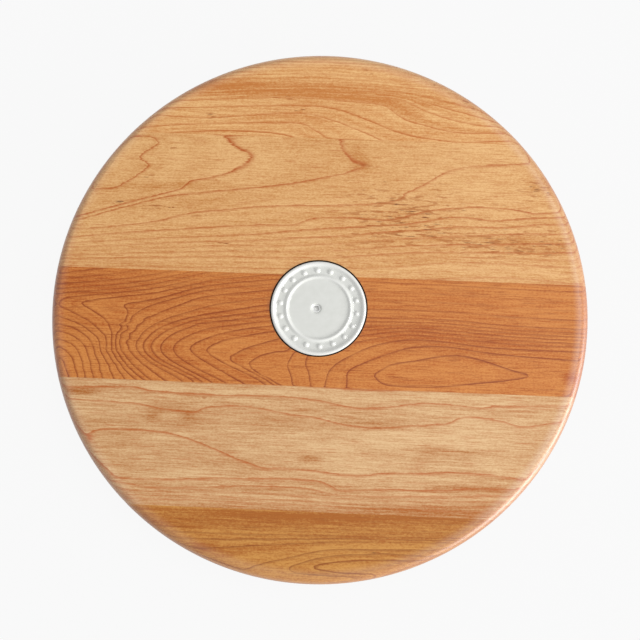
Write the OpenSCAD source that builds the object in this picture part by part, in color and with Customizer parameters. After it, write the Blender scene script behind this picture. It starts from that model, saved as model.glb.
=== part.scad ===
// Lazy susan: a round edge-glued wooden top that turns on a caged ball bearing over a wooden base.
// A glazed ceramic plate with a ring of beads is let into the middle of the top.
// Millimetres, +Z up. The origin is on the spin axis, on the table that the feet stand on.

/* [Board] */
// Diameter of the wooden top
board_d = 457; // [380:1:560]
// Thickness of the wooden top
board_t = 19; // [15:0.5:25]
// Radius of the rounded upper edge
board_top_round = 8; // [4:0.5:9]
// Radius of the eased lower edge
board_bottom_round = 4; // [2:0.5:5]
// Distance from the spin axis to the rearmost glue line
back_glue_line = 150; // [135:1:165]
// Width of the second stave from the back
stave_2_w = 122; // [100:1:135]
// Width of the middle stave
stave_3_w = 95; // [80:1:105]
// Width of the fourth stave from the back
stave_4_w = 103; // [86:1:115]

/* [Insert plate] */
// Diameter of the ceramic plate
insert_d = 81; // [66:1:100]
// Gap between the plate's edge and the wall of its pocket
insert_gap = 1; // [0.5:0.1:2]
// Height of the plate's lip over the wooden top
insert_proud = 0.8; // [0:0.1:2]
// Thickness of the ceramic in the middle of the plate
insert_web = 4.6; // [3.6:0.1:6]
// Height of the rounded lip over the middle of the plate
lip_h = 1.6; // [0.8:0.1:2.2]
// Width of the rounded lip
lip_w = 5; // [4:0.1:6]
// Width of the lip's level crest
lip_flat = 0.6; // [0.2:0.1:1]
// Radius of the lip's outer corner
rim_round = 1.4; // [0.8:0.1:1.8]
// Radius of the plate's lower corner
heel_round = 1.5; // [0.8:0.1:1.8]
// Width of the flat channel that holds the beads
channel_w = 5.4; // [4.4:0.1:7]
// Number of beads
bead_count = 18; // [12:1:22]
// Diameter of each bead at its foot
bead_d = 4.2; // [3:0.1:5.2]
// Height of each bead
bead_h = 1; // [0.5:0.1:1.4]
// Angle of the first bead from straight back
bead_phase = 4; // [0:1:19]
// Width of the steep side of the ridge inside the beads
ridge_fall_w = 2.6; // [1.5:0.1:4]
// Width of the ridge's gentle side, towards the plate's middle
ridge_rise_w = 4.9; // [3:0.1:7]
// Height of the ridge
ridge_h = 1.3; // [0.6:0.1:1.8]
// Distance from the plate's edge to the foot ring underneath
foot_ring_inset = 8.5; // [5:0.5:12]
// Width of the foot ring
foot_ring_w = 6; // [4:0.5:8]
// Height of the foot ring
foot_ring_h = 2.6; // [2:0.1:4]
// Chamfer on the foot ring's corners
foot_ring_chamfer = 0.6; // [0.3:0.1:1]
// Thickness of the silicone pads between the foot ring and the pocket
pad_t = 1; // [0.5:0.1:1.5]
// Number of silicone pads
pad_count = 4; // [3:1:6]

/* [Ornament socket] */
// Distance from the plate's centre to the hole
hole_offset = 1.8; // [0:0.1:3]
// Diameter of the bore that takes an ornament's peg
peg_d = 5; // [4:0.1:6]
// Depth of the bore
peg_depth = 4.5; // [3.5:0.1:5.5]
// Wall of the silicone socket around the bore
socket_wall = 0.9; // [0.6:0.1:1.5]
// Thickness of the socket's closed end
socket_floor = 1.2; // [0.8:0.1:1.6]
// Diameter of the socket's flange under the plate
socket_flange_d = 14; // [10:0.5:20]
// Clearance round the socket's flange and under its closed end
socket_gap = 0.8; // [0.5:0.1:2]
// Radius of the glazed lip round the hole
hole_round = 1.6; // [0.8:0.1:2]

/* [Bearing] */
// Outer diameter of the ring bearing
bearing_d = 200; // [165:1:240]
// Radial width of each bearing ring
ring_w = 13.8; // [11:0.1:17]
// Radial gap between the two rings
ring_gap = 2.4; // [2:0.1:3]
// Height of the inner ring over the outer ring
ring_lift = 1.2; // [1:0.1:2]
// Chamfer on the rings' corners
ring_chamfer = 0.6; // [0.3:0.1:1]
// Diameter of the bearing balls
ball_d = 5; // [4:0.1:6]
// Number of balls
ball_count = 36; // [24:1:45]
// Clearance between a ball and the grooves
ball_clearance = 0.05; // [0.02:0.01:0.1]
// Clearance between the ball cage and each ring
cage_gap = 0.5; // [0.3:0.05:0.7]
// Height of the cage above and below each ball
cage_web = 0.8; // [0.6:0.1:1]
// Clearance between a ball and its pocket in the cage
pocket_clearance = 0.1; // [0.05:0.01:0.2]
// Clearance round a ball in the hole that the balls are loaded through
loading_clearance = 0.5; // [0.3:0.1:1]
// Metal left over the loading hole
loading_wall = 0.4; // [0.3:0.1:2]
// Width across the flats of the loading plug's hex socket
plug_hex = 3; // [2:0.1:3.6]
// Depth of the loading plug's hex socket
plug_hex_depth = 3; // [2:0.5:4]
// Depth of the loading plug below the ring's outer wall
plug_recess = 1; // [0.5:0.1:2]

/* [Base] */
// Diameter of the wooden base
base_d = 300; // [250:1:380]
// Thickness of the wooden base
base_t = 16; // [13:0.5:22]
// Radius of the base's rounded upper edge
base_top_round = 6; // [3:0.5:7]
// Radius of the base's eased lower edge
base_bottom_round = 3; // [1:0.5:4]
// Width of the base's middle stave
base_stave_w = 100; // [84:1:118]

/* [Feet] */
// Number of rubber feet
foot_count = 6; // [3:1:8]
// Distance from the base's edge to the middle of a foot
foot_inset = 20; // [16:0.5:26]
// Diameter of a foot where it meets the base
foot_d = 20; // [17:0.5:26]
// Diameter of a foot where it meets the table
foot_sole_d = 16.5; // [14:0.5:20]
// Height of a foot
foot_h = 6; // [5:0.5:9]
// Radius of the edge of a foot's sole
foot_sole_round = 1.2; // [0.6:0.1:1.6]
// Height of the straight band where a foot meets the base
foot_band = 1; // [0.5:0.1:2]
// Thickness of the rubber that the foot's screw clamps
foot_web = 2.4; // [1.6:0.1:3]
// Thickness of the steel washer in a foot
washer_t = 0.8; // [0.5:0.1:1]
// Diameter of the steel washer in a foot
washer_d = 9; // [8.6:0.1:11]

/* [Screws] */
// Screws in each bearing ring
screw_count = 4; // [3:1:6]
// Angle of the inner ring's first screw
screw_phase = 35; // [25:1:40]
// Shank diameter of every screw
screw_d = 3.6; // [3:0.1:4.4]
// Length of the screws' pointed end
screw_tip = 2.5; // [1.5:0.1:4]
// Diameter of a screw's blunt point
screw_point_d = 0.6; // [0.3:0.1:1]
// Head diameter of the countersunk screws
screw_head_d = 7.2; // [6.4:0.1:8.7]
// Height of the straight edge of a countersunk head
screw_head_edge = 0.3; // [0.2:0.05:0.5]
// Depth that the outer ring's screws bite into the base
base_bite = 8; // [6:0.5:10]
// Depth that the inner ring's screws bite into the wooden top
board_bite = 10; // [8:0.5:12]
// Depth that the feet's screws bite into the base
foot_bite = 10; // [7:0.5:12]
// Head diameter of the feet's pan-head screws
pan_head_d = 7; // [6:0.1:8.4]
// Head height of the feet's pan-head screws
pan_head_h = 1.6; // [1.3:0.1:2]
// Radial clearance of a screw or washer in the hole that it passes through
screw_clearance = 0.25; // [0.1:0.05:0.5]
// Radial clearance of a screw in its pilot hole
pilot_clearance = 0.05; // [0.02:0.01:0.1]
// Depth of a pilot hole beyond its screw's point
pilot_overrun = 1.2; // [0.5:0.1:1.8]
// Radial clearance of a screw's head in the base's driver holes
driver_clearance = 1.4; // [0.8:0.1:2.4]
// Width of a cross recess's arms
cross_w = 1; // [0.8:0.1:1.2]
// Span of a cross recess
cross_span = 3.6; // [3:0.1:4.2]
// Depth of a cross recess
cross_depth = 1.1; // [0.8:0.1:1.2]

/* [Hidden] */
BOARD_STAVES = 5;
BASE_STAVES = 3;

$fn = 180;       // facets asked for on the large turned shapes
SMALL_FN = 48;   // facets asked for on small round parts
ARC_STEPS = 10;  // straight steps in each curve of a turned profile
CUT = 0.5;       // how far a cutting shape runs past the face that it cuts

STAVE_COLORS = ["#cf965c", "#d9a66c", "#bd7a42", "#d8a76f", "#c4844a"];
BASE_COLOR = "#d3a067";
GLAZE = "#e3e3dd";
SILICONE = "#f4f4f2";
ALUMINIUM = "#b9bcc0";
STEEL = "#cfd2d6";
NYLON = "#ece8dc";
BLACK_OXIDE = "#2e2d2f";
RUBBER = "#242427";

// Radii
board_r = board_d / 2;
insert_r = insert_d / 2;
pocket_r = insert_r + insert_gap;
base_r = base_d / 2;
foot_circle_r = base_r - foot_inset;

ball_r = ball_d / 2;
groove_r = ball_r + ball_clearance;
outer_ring_r = bearing_d / 2;
outer_ring_bore_r = outer_ring_r - ring_w;
pitch_r = outer_ring_bore_r - ring_gap / 2;
inner_ring_r = pitch_r - ring_gap / 2;
inner_ring_bore_r = inner_ring_r - ring_w;
groove_depth = groove_r - ring_gap / 2;
loading_r = ball_r + loading_clearance;
outer_screw_r = (outer_ring_bore_r + groove_depth + outer_ring_r) / 2;
inner_screw_r = (inner_ring_r - groove_depth + inner_ring_bore_r) / 2;
outer_screw_phase = screw_phase + 180 / screw_count;
driver_hole_r = screw_head_d / 2 + driver_clearance;

// Radii across the plate's moulding, from the rim inwards
lip_crest_r = insert_r - rim_round - lip_flat;
lip_foot_r = insert_r - lip_w;
bead_ring_r = lip_foot_r - channel_w / 2;
ridge_foot_r = lip_foot_r - channel_w;
ridge_r = ridge_foot_r - ridge_fall_w;
plate_flat_r = ridge_r - ridge_rise_w;
foot_ring_r = insert_r - foot_ring_inset;
foot_ring_bore_r = foot_ring_r - foot_ring_w;
socket_r = peg_d / 2 + socket_wall;

// Heights, from the table up
ring_t = ring_lift + 2 * (loading_r + loading_wall);
base_z = foot_h;
base_top_z = base_z + base_t;
groove_z = base_top_z + (ring_t + ring_lift) / 2;
inner_ring_z = base_top_z + ring_lift;
board_z = inner_ring_z + ring_t;
board_top_z = board_z + board_t;
lip_z = board_top_z + insert_proud;
plate_z = lip_z - lip_h;
plate_under_z = plate_z - insert_web;
foot_ring_z = plate_under_z - foot_ring_h;
pocket_z = foot_ring_z - pad_t;
socket_mouth_z = plate_z - hole_round;
peg_floor_z = socket_mouth_z - peg_depth;
socket_end_z = peg_floor_z - socket_floor;
relief_z = min(pocket_z, socket_end_z - socket_gap);
washer_z = base_z - foot_web - washer_t;

// Glue lines, from back to front
board_lines = [
  back_glue_line,
  back_glue_line - stave_2_w,
  back_glue_line - stave_2_w - stave_3_w,
  back_glue_line - stave_2_w - stave_3_w - stave_4_w
];
base_lines = [base_stave_w / 2, -base_stave_w / 2];

// ---------- shared shapes ----------

// Points of an arc of radius r round c, from angle a0 to angle a1.
function arc_points(c, r, a0, a1) =
  [for (i = [0:ARC_STEPS]) let (a = a0 + (a1 - a0) * i / ARC_STEPS) c + r * [cos(a), sin(a)]];

// Points of a smooth slope from p to q that is level at both ends.
function slope_points(p, q) =
  [for (i = [0:ARC_STEPS]) let (t = i / ARC_STEPS)
    [p[0] + (q[0] - p[0]) * t, p[1] + (q[1] - p[1]) * (1 - cos(180 * t)) / 2]];

// A disc of radius r and thickness t on z = 0, with a rounded upper and lower edge.
module rounded_disc(r, t, top_round, bottom_round) {
  rotate_extrude() {
    translate([0, bottom_round]) square([r, t - top_round - bottom_round]);
    square([r - bottom_round, t - top_round]);
    square([r - top_round, t]);
    intersection() {
      translate([r - top_round, t - top_round]) circle(top_round);
      translate([0, bottom_round]) square([r, t]);
    }
    intersection() {
      translate([r - bottom_round, bottom_round]) circle(bottom_round);
      square([r, t - top_round]);
    }
  }
}

// The part of its children between two glue lines, for stave k of a disc of radius r.
module stave_of(k, lines, r, z, t) {
  back_y = k == 1 ? r + CUT : lines[k - 2];
  front_y = k > len(lines) ? -r - CUT : lines[k - 1];
  intersection() {
    children();
    translate([-r - CUT, front_y, z - CUT]) cube([2 * (r + CUT), back_y - front_y, t + 2 * CUT]);
  }
}

// Copies of its children at equal steps round a circle, each turned to face outwards.
module ring_of(count, r, phase = 0) {
  for (i = [0:count - 1]) rotate(phase + i * 360 / count) translate([r, 0, 0]) children();
}

// A turned ring on z = 0 with chamfered corners.
module chamfered_ring(inner_r, outer_r, t, chamfer) {
  rotate_extrude() polygon([
    [inner_r, chamfer], [inner_r + chamfer, 0],
    [outer_r - chamfer, 0], [outer_r, chamfer],
    [outer_r, t - chamfer], [outer_r - chamfer, t],
    [inner_r + chamfer, t], [inner_r, t - chamfer]
  ]);
}

module small_cylinder(h, r) {
  cylinder(h = h, r = r, $fn = SMALL_FN);
}

// ---------- screws: each has its head at z = 0 and its point up ----------

module cross_recess() {
  for (a = [0, 90]) rotate(a)
    translate([-cross_span / 2, -cross_w / 2, -CUT]) cube([cross_span, cross_w, cross_depth + CUT]);
}

module screw_shank(length) {
  small_cylinder(length - screw_tip, screw_d / 2);
  translate([0, 0, length - screw_tip])
    cylinder(h = screw_tip, d1 = screw_d, d2 = screw_point_d, $fn = SMALL_FN);
}

module countersunk_screw(length) {
  cone_h = (screw_head_d - screw_d) / 2;
  difference() {
    union() {
      small_cylinder(screw_head_edge, screw_head_d / 2);
      translate([0, 0, screw_head_edge])
        cylinder(h = cone_h, d1 = screw_head_d, d2 = screw_d, $fn = SMALL_FN);
      screw_shank(length);
    }
    cross_recess();
  }
}

// The hole through a plate of thickness t in which a countersunk screw seats on its cone.
module countersunk_hole(t) {
  hole_r = screw_d / 2 + screw_clearance;
  cone_h = screw_head_d / 2 - hole_r;
  translate([0, 0, -CUT]) small_cylinder(t + 2 * CUT, hole_r);
  translate([0, 0, -CUT]) small_cylinder(screw_head_edge + CUT, screw_head_d / 2);
  translate([0, 0, screw_head_edge])
    cylinder(h = cone_h, r1 = screw_head_d / 2, r2 = hole_r, $fn = SMALL_FN);
}

module pan_head_screw(length) {
  difference() {
    union() {
      cylinder(h = pan_head_h, d1 = pan_head_d - pan_head_h, d2 = pan_head_d, $fn = SMALL_FN);
      screw_shank(length);
    }
    cross_recess();
  }
}

// The hole in wood, up from z = 0, that a screw's thread bites into.
module pilot_hole(bite) {
  translate([0, 0, -CUT]) small_cylinder(bite + pilot_overrun + CUT, screw_d / 2 + pilot_clearance);
}

// ---------- wooden top ----------

module board_stave(k) {
  color(STAVE_COLORS[k - 1]) difference() {
    stave_of(k, board_lines, board_r, board_z, board_t)
      translate([0, 0, board_z]) rounded_disc(board_r, board_t, board_top_round, board_bottom_round);
    translate([0, 0, pocket_z]) cylinder(h = board_top_z - pocket_z + CUT, r = pocket_r);
    translate([-hole_offset, 0, relief_z])
      small_cylinder(pocket_z - relief_z + CUT, socket_flange_d / 2 + socket_gap);
    ring_of(screw_count, inner_screw_r, screw_phase) translate([0, 0, board_z]) pilot_hole(board_bite);
  }
}

// ---------- ceramic insert ----------

// Upper outline of the plate, from its middle out to the rim.
function plate_top_points() = concat(
  [[0, plate_z]],
  slope_points([plate_flat_r, plate_z], [ridge_r, plate_z + ridge_h]),
  slope_points([ridge_r, plate_z + ridge_h], [ridge_foot_r, plate_z]),
  slope_points([lip_foot_r, plate_z], [lip_crest_r, lip_z]),
  arc_points([insert_r - rim_round, lip_z - rim_round], rim_round, 90, 0)
);

// Lower outline of the plate, from the rim in to its middle.
function plate_under_points() = concat(
  arc_points([insert_r - heel_round, plate_under_z + heel_round], heel_round, 0, -90),
  [
    [foot_ring_r, plate_under_z], [foot_ring_r - foot_ring_chamfer, foot_ring_z],
    [foot_ring_bore_r + foot_ring_chamfer, foot_ring_z], [foot_ring_bore_r, plate_under_z],
    [0, plate_under_z]
  ]
);

// The hole through the plate, with a lip that rounds into it.
module plate_hole() {
  translate([-hole_offset, 0, 0]) rotate_extrude($fn = SMALL_FN) polygon(concat(
    [[0, plate_under_z - CUT], [socket_r, plate_under_z - CUT]],
    arc_points([socket_r + hole_round, socket_mouth_z], hole_round, 180, 90),
    [[socket_r + hole_round, plate_z + CUT], [0, plate_z + CUT]]
  ));
}

// The cap of a sphere, its foot sunk a little way into the plate.
module bead() {
  sphere_r = (pow(bead_d / 2, 2) + pow(bead_h, 2)) / (2 * bead_h);
  intersection() {
    translate([0, 0, plate_z + bead_h - sphere_r]) sphere(sphere_r, $fn = SMALL_FN);
    translate([0, 0, plate_z - CUT]) small_cylinder(bead_h + 2 * CUT, sphere_r);
  }
}

module insert_plate() {
  color(GLAZE) {
    difference() {
      rotate_extrude() polygon(concat(plate_top_points(), plate_under_points()));
      plate_hole();
    }
    ring_of(bead_count, bead_ring_r, 90 + bead_phase) bead();
  }
}

module insert_pads() {
  color(SILICONE) ring_of(pad_count, foot_ring_r - foot_ring_w / 2, 180 / pad_count)
    translate([0, 0, pocket_z]) small_cylinder(pad_t, foot_ring_w / 2 - foot_ring_chamfer);
}

// A sleeve in the plate's hole, with a flange and a closed end under the plate.
module peg_socket() {
  color(SILICONE) translate([-hole_offset, 0, 0]) difference() {
    union() {
      translate([0, 0, socket_end_z]) small_cylinder(socket_mouth_z - socket_end_z, socket_r);
      translate([0, 0, socket_end_z]) small_cylinder(plate_under_z - socket_end_z, socket_flange_d / 2);
    }
    translate([0, 0, peg_floor_z]) small_cylinder(peg_depth + CUT, peg_d / 2);
  }
}

// ---------- bearing ----------

module ball_groove() {
  translate([0, 0, groove_z]) rotate_extrude() translate([pitch_r, 0]) circle(groove_r, $fn = SMALL_FN);
}

module bearing_inner_ring() {
  color(ALUMINIUM) difference() {
    translate([0, 0, inner_ring_z]) chamfered_ring(inner_ring_bore_r, inner_ring_r, ring_t, ring_chamfer);
    ball_groove();
    ring_of(screw_count, inner_screw_r, screw_phase) translate([0, 0, inner_ring_z]) countersunk_hole(ring_t);
  }
}

module bearing_outer_ring() {
  color(ALUMINIUM) difference() {
    translate([0, 0, base_top_z]) chamfered_ring(outer_ring_bore_r, outer_ring_r, ring_t, ring_chamfer);
    ball_groove();
    ring_of(screw_count, outer_screw_r, outer_screw_phase)
      translate([0, 0, base_top_z + ring_t]) mirror([0, 0, 1]) countersunk_hole(ring_t);
    rotate(screw_phase) translate([pitch_r, 0, groove_z]) rotate([0, 90, 0])
      small_cylinder(ring_gap / 2 + ring_w + CUT, loading_r);
  }
}

// Headless screw that closes the hole through which the balls are loaded.
module loading_plug() {
  start_r = pitch_r + groove_r + ball_clearance;
  length = outer_ring_r - plug_recess - start_r;
  color(BLACK_OXIDE) rotate(screw_phase) translate([start_r, 0, groove_z]) rotate([0, 90, 0]) difference() {
    small_cylinder(length, loading_r - pilot_clearance);
    translate([0, 0, length - plug_hex_depth])
      cylinder(h = plug_hex_depth + CUT, d = plug_hex / cos(30), $fn = 6);
  }
}

module ball_cage() {
  half_h = ball_r + pocket_clearance + cage_web;
  cage_t = ring_gap - 2 * cage_gap;
  color(NYLON) difference() {
    translate([0, 0, groove_z - half_h]) rotate_extrude()
      translate([pitch_r - cage_t / 2, 0]) square([cage_t, 2 * half_h]);
    ring_of(ball_count, pitch_r - cage_t) translate([0, 0, groove_z]) rotate([0, 90, 0])
      small_cylinder(2 * cage_t, ball_r + pocket_clearance);
  }
}

module bearing_balls() {
  color(STEEL) ring_of(ball_count, pitch_r) translate([0, 0, groove_z]) sphere(ball_r, $fn = SMALL_FN);
}

module inner_ring_screws() {
  color(STEEL) ring_of(screw_count, inner_screw_r, screw_phase)
    translate([0, 0, inner_ring_z]) countersunk_screw(ring_t + board_bite);
}

module outer_ring_screws() {
  color(STEEL) ring_of(screw_count, outer_screw_r, outer_screw_phase)
    translate([0, 0, base_top_z + ring_t]) mirror([0, 0, 1]) countersunk_screw(ring_t + base_bite);
}

// ---------- base ----------

module base_stave(k) {
  color(BASE_COLOR) difference() {
    stave_of(k, base_lines, base_r, base_z, base_t)
      translate([0, 0, base_z]) rounded_disc(base_r, base_t, base_top_round, base_bottom_round);
    ring_of(screw_count, inner_screw_r, screw_phase)
      translate([0, 0, base_z - CUT]) small_cylinder(base_t + 2 * CUT, driver_hole_r);
    ring_of(screw_count, outer_screw_r, outer_screw_phase)
      translate([0, 0, base_top_z]) mirror([0, 0, 1]) pilot_hole(base_bite);
    ring_of(foot_count, foot_circle_r) translate([0, 0, base_z]) pilot_hole(foot_bite);
  }
}

// ---------- feet ----------

// Foot k, counted round from +X.
module foot(k) {
  color(RUBBER) rotate((k - 1) * 360 / foot_count) translate([foot_circle_r, 0, 0]) difference() {
    rotate_extrude($fn = SMALL_FN) polygon(concat(
      [[0, 0]],
      arc_points([foot_sole_d / 2 - foot_sole_round, foot_sole_round], foot_sole_round, -90, 0),
      [[foot_d / 2, foot_h - foot_band], [foot_d / 2, foot_h], [0, foot_h]]
    ));
    translate([0, 0, -CUT]) small_cylinder(washer_z + washer_t + CUT, washer_d / 2 + screw_clearance);
    small_cylinder(foot_h + CUT, screw_d / 2 + screw_clearance);
  }
}

module foot_washers() {
  color(STEEL) ring_of(foot_count, foot_circle_r) translate([0, 0, washer_z]) difference() {
    small_cylinder(washer_t, washer_d / 2);
    translate([0, 0, -CUT]) small_cylinder(washer_t + 2 * CUT, screw_d / 2 + screw_clearance);
  }
}

module foot_screws() {
  color(STEEL) ring_of(foot_count, foot_circle_r) translate([0, 0, washer_z - pan_head_h])
    pan_head_screw(pan_head_h + washer_t + foot_web + foot_bite);
}

// ---------- nodes ----------

for (k = [1:BOARD_STAVES]) board_stave(k);
insert_plate();
insert_pads();
peg_socket();
bearing_inner_ring();
inner_ring_screws();
ball_cage();
bearing_balls();
bearing_outer_ring();
outer_ring_screws();
loading_plug();
for (k = [1:BASE_STAVES]) base_stave(k);
for (k = [1:foot_count]) foot(k);
foot_washers();
foot_screws();
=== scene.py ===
"""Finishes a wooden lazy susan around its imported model.

The glued maple staves carry drawn growth rings, the ceramic plate and the small round parts are turned
from their profiles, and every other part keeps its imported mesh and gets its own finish.  Lengths are
millimetres in the drawings and profiles below, and metres in every mesh and place.
"""

import logging
import math
from dataclasses import dataclass, field
from enum import Enum
from typing import Any, Dict, Iterable, List, Optional, Sequence, Tuple, Union

import bmesh
import bpy
import numpy as np
from mathutils import Matrix, Vector


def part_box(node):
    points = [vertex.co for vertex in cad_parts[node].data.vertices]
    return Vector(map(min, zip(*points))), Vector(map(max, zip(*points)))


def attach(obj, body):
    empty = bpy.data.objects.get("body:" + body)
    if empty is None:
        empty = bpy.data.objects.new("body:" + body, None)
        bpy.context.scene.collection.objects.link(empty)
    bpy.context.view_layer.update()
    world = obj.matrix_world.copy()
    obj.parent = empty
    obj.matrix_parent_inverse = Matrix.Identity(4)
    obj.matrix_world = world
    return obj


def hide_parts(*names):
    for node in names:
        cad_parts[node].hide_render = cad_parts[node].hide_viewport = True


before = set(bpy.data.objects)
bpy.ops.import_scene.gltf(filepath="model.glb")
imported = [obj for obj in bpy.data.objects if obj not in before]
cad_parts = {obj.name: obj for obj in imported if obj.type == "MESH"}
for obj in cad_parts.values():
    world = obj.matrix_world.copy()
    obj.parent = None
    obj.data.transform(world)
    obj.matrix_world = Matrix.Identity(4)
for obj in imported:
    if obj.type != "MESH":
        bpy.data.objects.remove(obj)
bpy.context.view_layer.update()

MM = 0.001
LOG = logging.getLogger("lazy_susan")

Colour = Tuple[float, float, float, float]
Point = Tuple[float, float]
Socket = bpy.types.NodeSocket
Term = Union["Value", Socket, float, int]


def tone(red: int, green: int, blue: int) -> Colour:
    """Turns a colour in screen steps from 0 to 255 into a linear colour.

    Args:
        red: the red step.
        green: the green step.
        blue: the blue step.

    Returns:
        The linear colour with full opacity.
    """
    low = [step / 255 for step in (red, green, blue)]
    linear = [c / 12.92 if c <= 0.04045 else ((c + 0.055) / 1.055) ** 2.4 for c in low]
    return (linear[0], linear[1], linear[2], 1.0)


# ---------- node graphs ----------


class Value:
    """A node socket that carries a number and takes Python's arithmetic."""

    def __init__(self, graph: "Graph", socket: Socket) -> None:
        """Wraps one output.

        Args:
            graph: the graph that new nodes go into.
            socket: the output that holds the number.
        """
        self.graph = graph
        self.socket = socket

    def __add__(self, other: Term) -> "Value":
        """The sum."""
        return self.graph.math("ADD", self, other)

    def __radd__(self, other: Term) -> "Value":
        """The sum, from the right."""
        return self.graph.math("ADD", other, self)

    def __sub__(self, other: Term) -> "Value":
        """The difference."""
        return self.graph.math("SUBTRACT", self, other)

    def __rsub__(self, other: Term) -> "Value":
        """The difference, from the right."""
        return self.graph.math("SUBTRACT", other, self)

    def __mul__(self, other: Term) -> "Value":
        """The product."""
        return self.graph.math("MULTIPLY", self, other)

    def __rmul__(self, other: Term) -> "Value":
        """The product, from the right."""
        return self.graph.math("MULTIPLY", other, self)

    def __truediv__(self, other: Term) -> "Value":
        """The quotient."""
        return self.graph.math("DIVIDE", self, other)

    def __pow__(self, other: Term) -> "Value":
        """The power."""
        return self.graph.math("POWER", self, other)

    def of(self, operation: str, *others: Term) -> "Value":
        """Any other Math operation with this number first."""
        return self.graph.math(operation, self, *others)

    def held(self) -> "Value":
        """The number kept between 0 and 1."""
        return self.graph.math("ADD", self, 0.0, clamp=True)

    def eased(self, start: float, end: float) -> "Value":
        """Rises smoothly from 0 where the number is start to 1 where it is end."""
        return self.graph.spread(self, start, end, 0.0, 1.0, "SMOOTHSTEP")


class Graph:
    """A node tree, for a material or for geometry, and one way to add nodes to it."""

    def __init__(self, tree: bpy.types.NodeTree) -> None:
        """Keeps the tree that nodes are added to."""
        self.tree = tree

    def node(
        self,
        kind: str,
        settings: Optional[Dict[str, Any]] = None,
        values: Optional[Dict[Union[int, str], Any]] = None,
    ) -> bpy.types.Node:
        """Adds one node.

        Args:
            kind: the node's type.
            settings: its own settings, made first.
            values: for each input, by name or by place, a number or the output that feeds it.

        Returns:
            The node.
        """
        made = self.tree.nodes.new(kind)
        for name, setting in (settings or {}).items():
            setattr(made, name, setting)
        for key, value in (values or {}).items():
            self.feed(made.inputs[key], value)
        return made

    def feed(self, target: Socket, value: Any) -> None:
        """Sets an input, or links the output that feeds it.

        Args:
            target: the input.
            value: a Value, an output, or a plain number, colour or vector.
        """
        if isinstance(value, Value):
            value = value.socket
        if isinstance(value, bpy.types.NodeSocket):
            self.tree.links.new(value, target)
        else:
            target.default_value = value

    def math(self, operation: str, *terms: Term, clamp: bool = False) -> Value:
        """Adds a Math node.

        Args:
            operation: what it works out.
            terms: its numbers, in order.
            clamp: whether the answer is kept between 0 and 1.

        Returns:
            The answer.
        """
        settings = {"operation": operation, "use_clamp": clamp}
        made = self.node("ShaderNodeMath", settings, dict(enumerate(terms)))
        return Value(self, made.outputs[0])

    def vector(self, operation: str, *terms: Any) -> Socket:
        """The vector that a Vector Math node gives for these vectors."""
        return self.node("ShaderNodeVectorMath", {"operation": operation}, dict(enumerate(terms))).outputs[0]

    def joined(self, x: Term, y: Term, z: Term) -> Socket:
        """A vector from three numbers."""
        return self.node("ShaderNodeCombineXYZ", values={"X": x, "Y": y, "Z": z}).outputs[0]

    def parts(self, vector: Socket) -> Tuple[Value, Value, Value]:
        """The three numbers of a vector."""
        made = self.node("ShaderNodeSeparateXYZ", values={0: vector})
        return tuple(Value(self, output) for output in made.outputs)

    def spread(
        self, value: Term, start: float, end: float, low: float, high: float, kind: str = "LINEAR"
    ) -> Value:
        """Maps a number from one range to another and stops at its ends.

        Args:
            value: the number.
            start: where the new range begins.
            end: where it ends.
            low: the answer at start.
            high: the answer at end.
            kind: the interpolation between them.

        Returns:
            The mapped number.
        """
        settings = {"interpolation_type": kind, "clamp": True}
        made = self.node("ShaderNodeMapRange", settings, {0: value, 1: start, 2: end, 3: low, 4: high})
        return Value(self, made.outputs[0])


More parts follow.
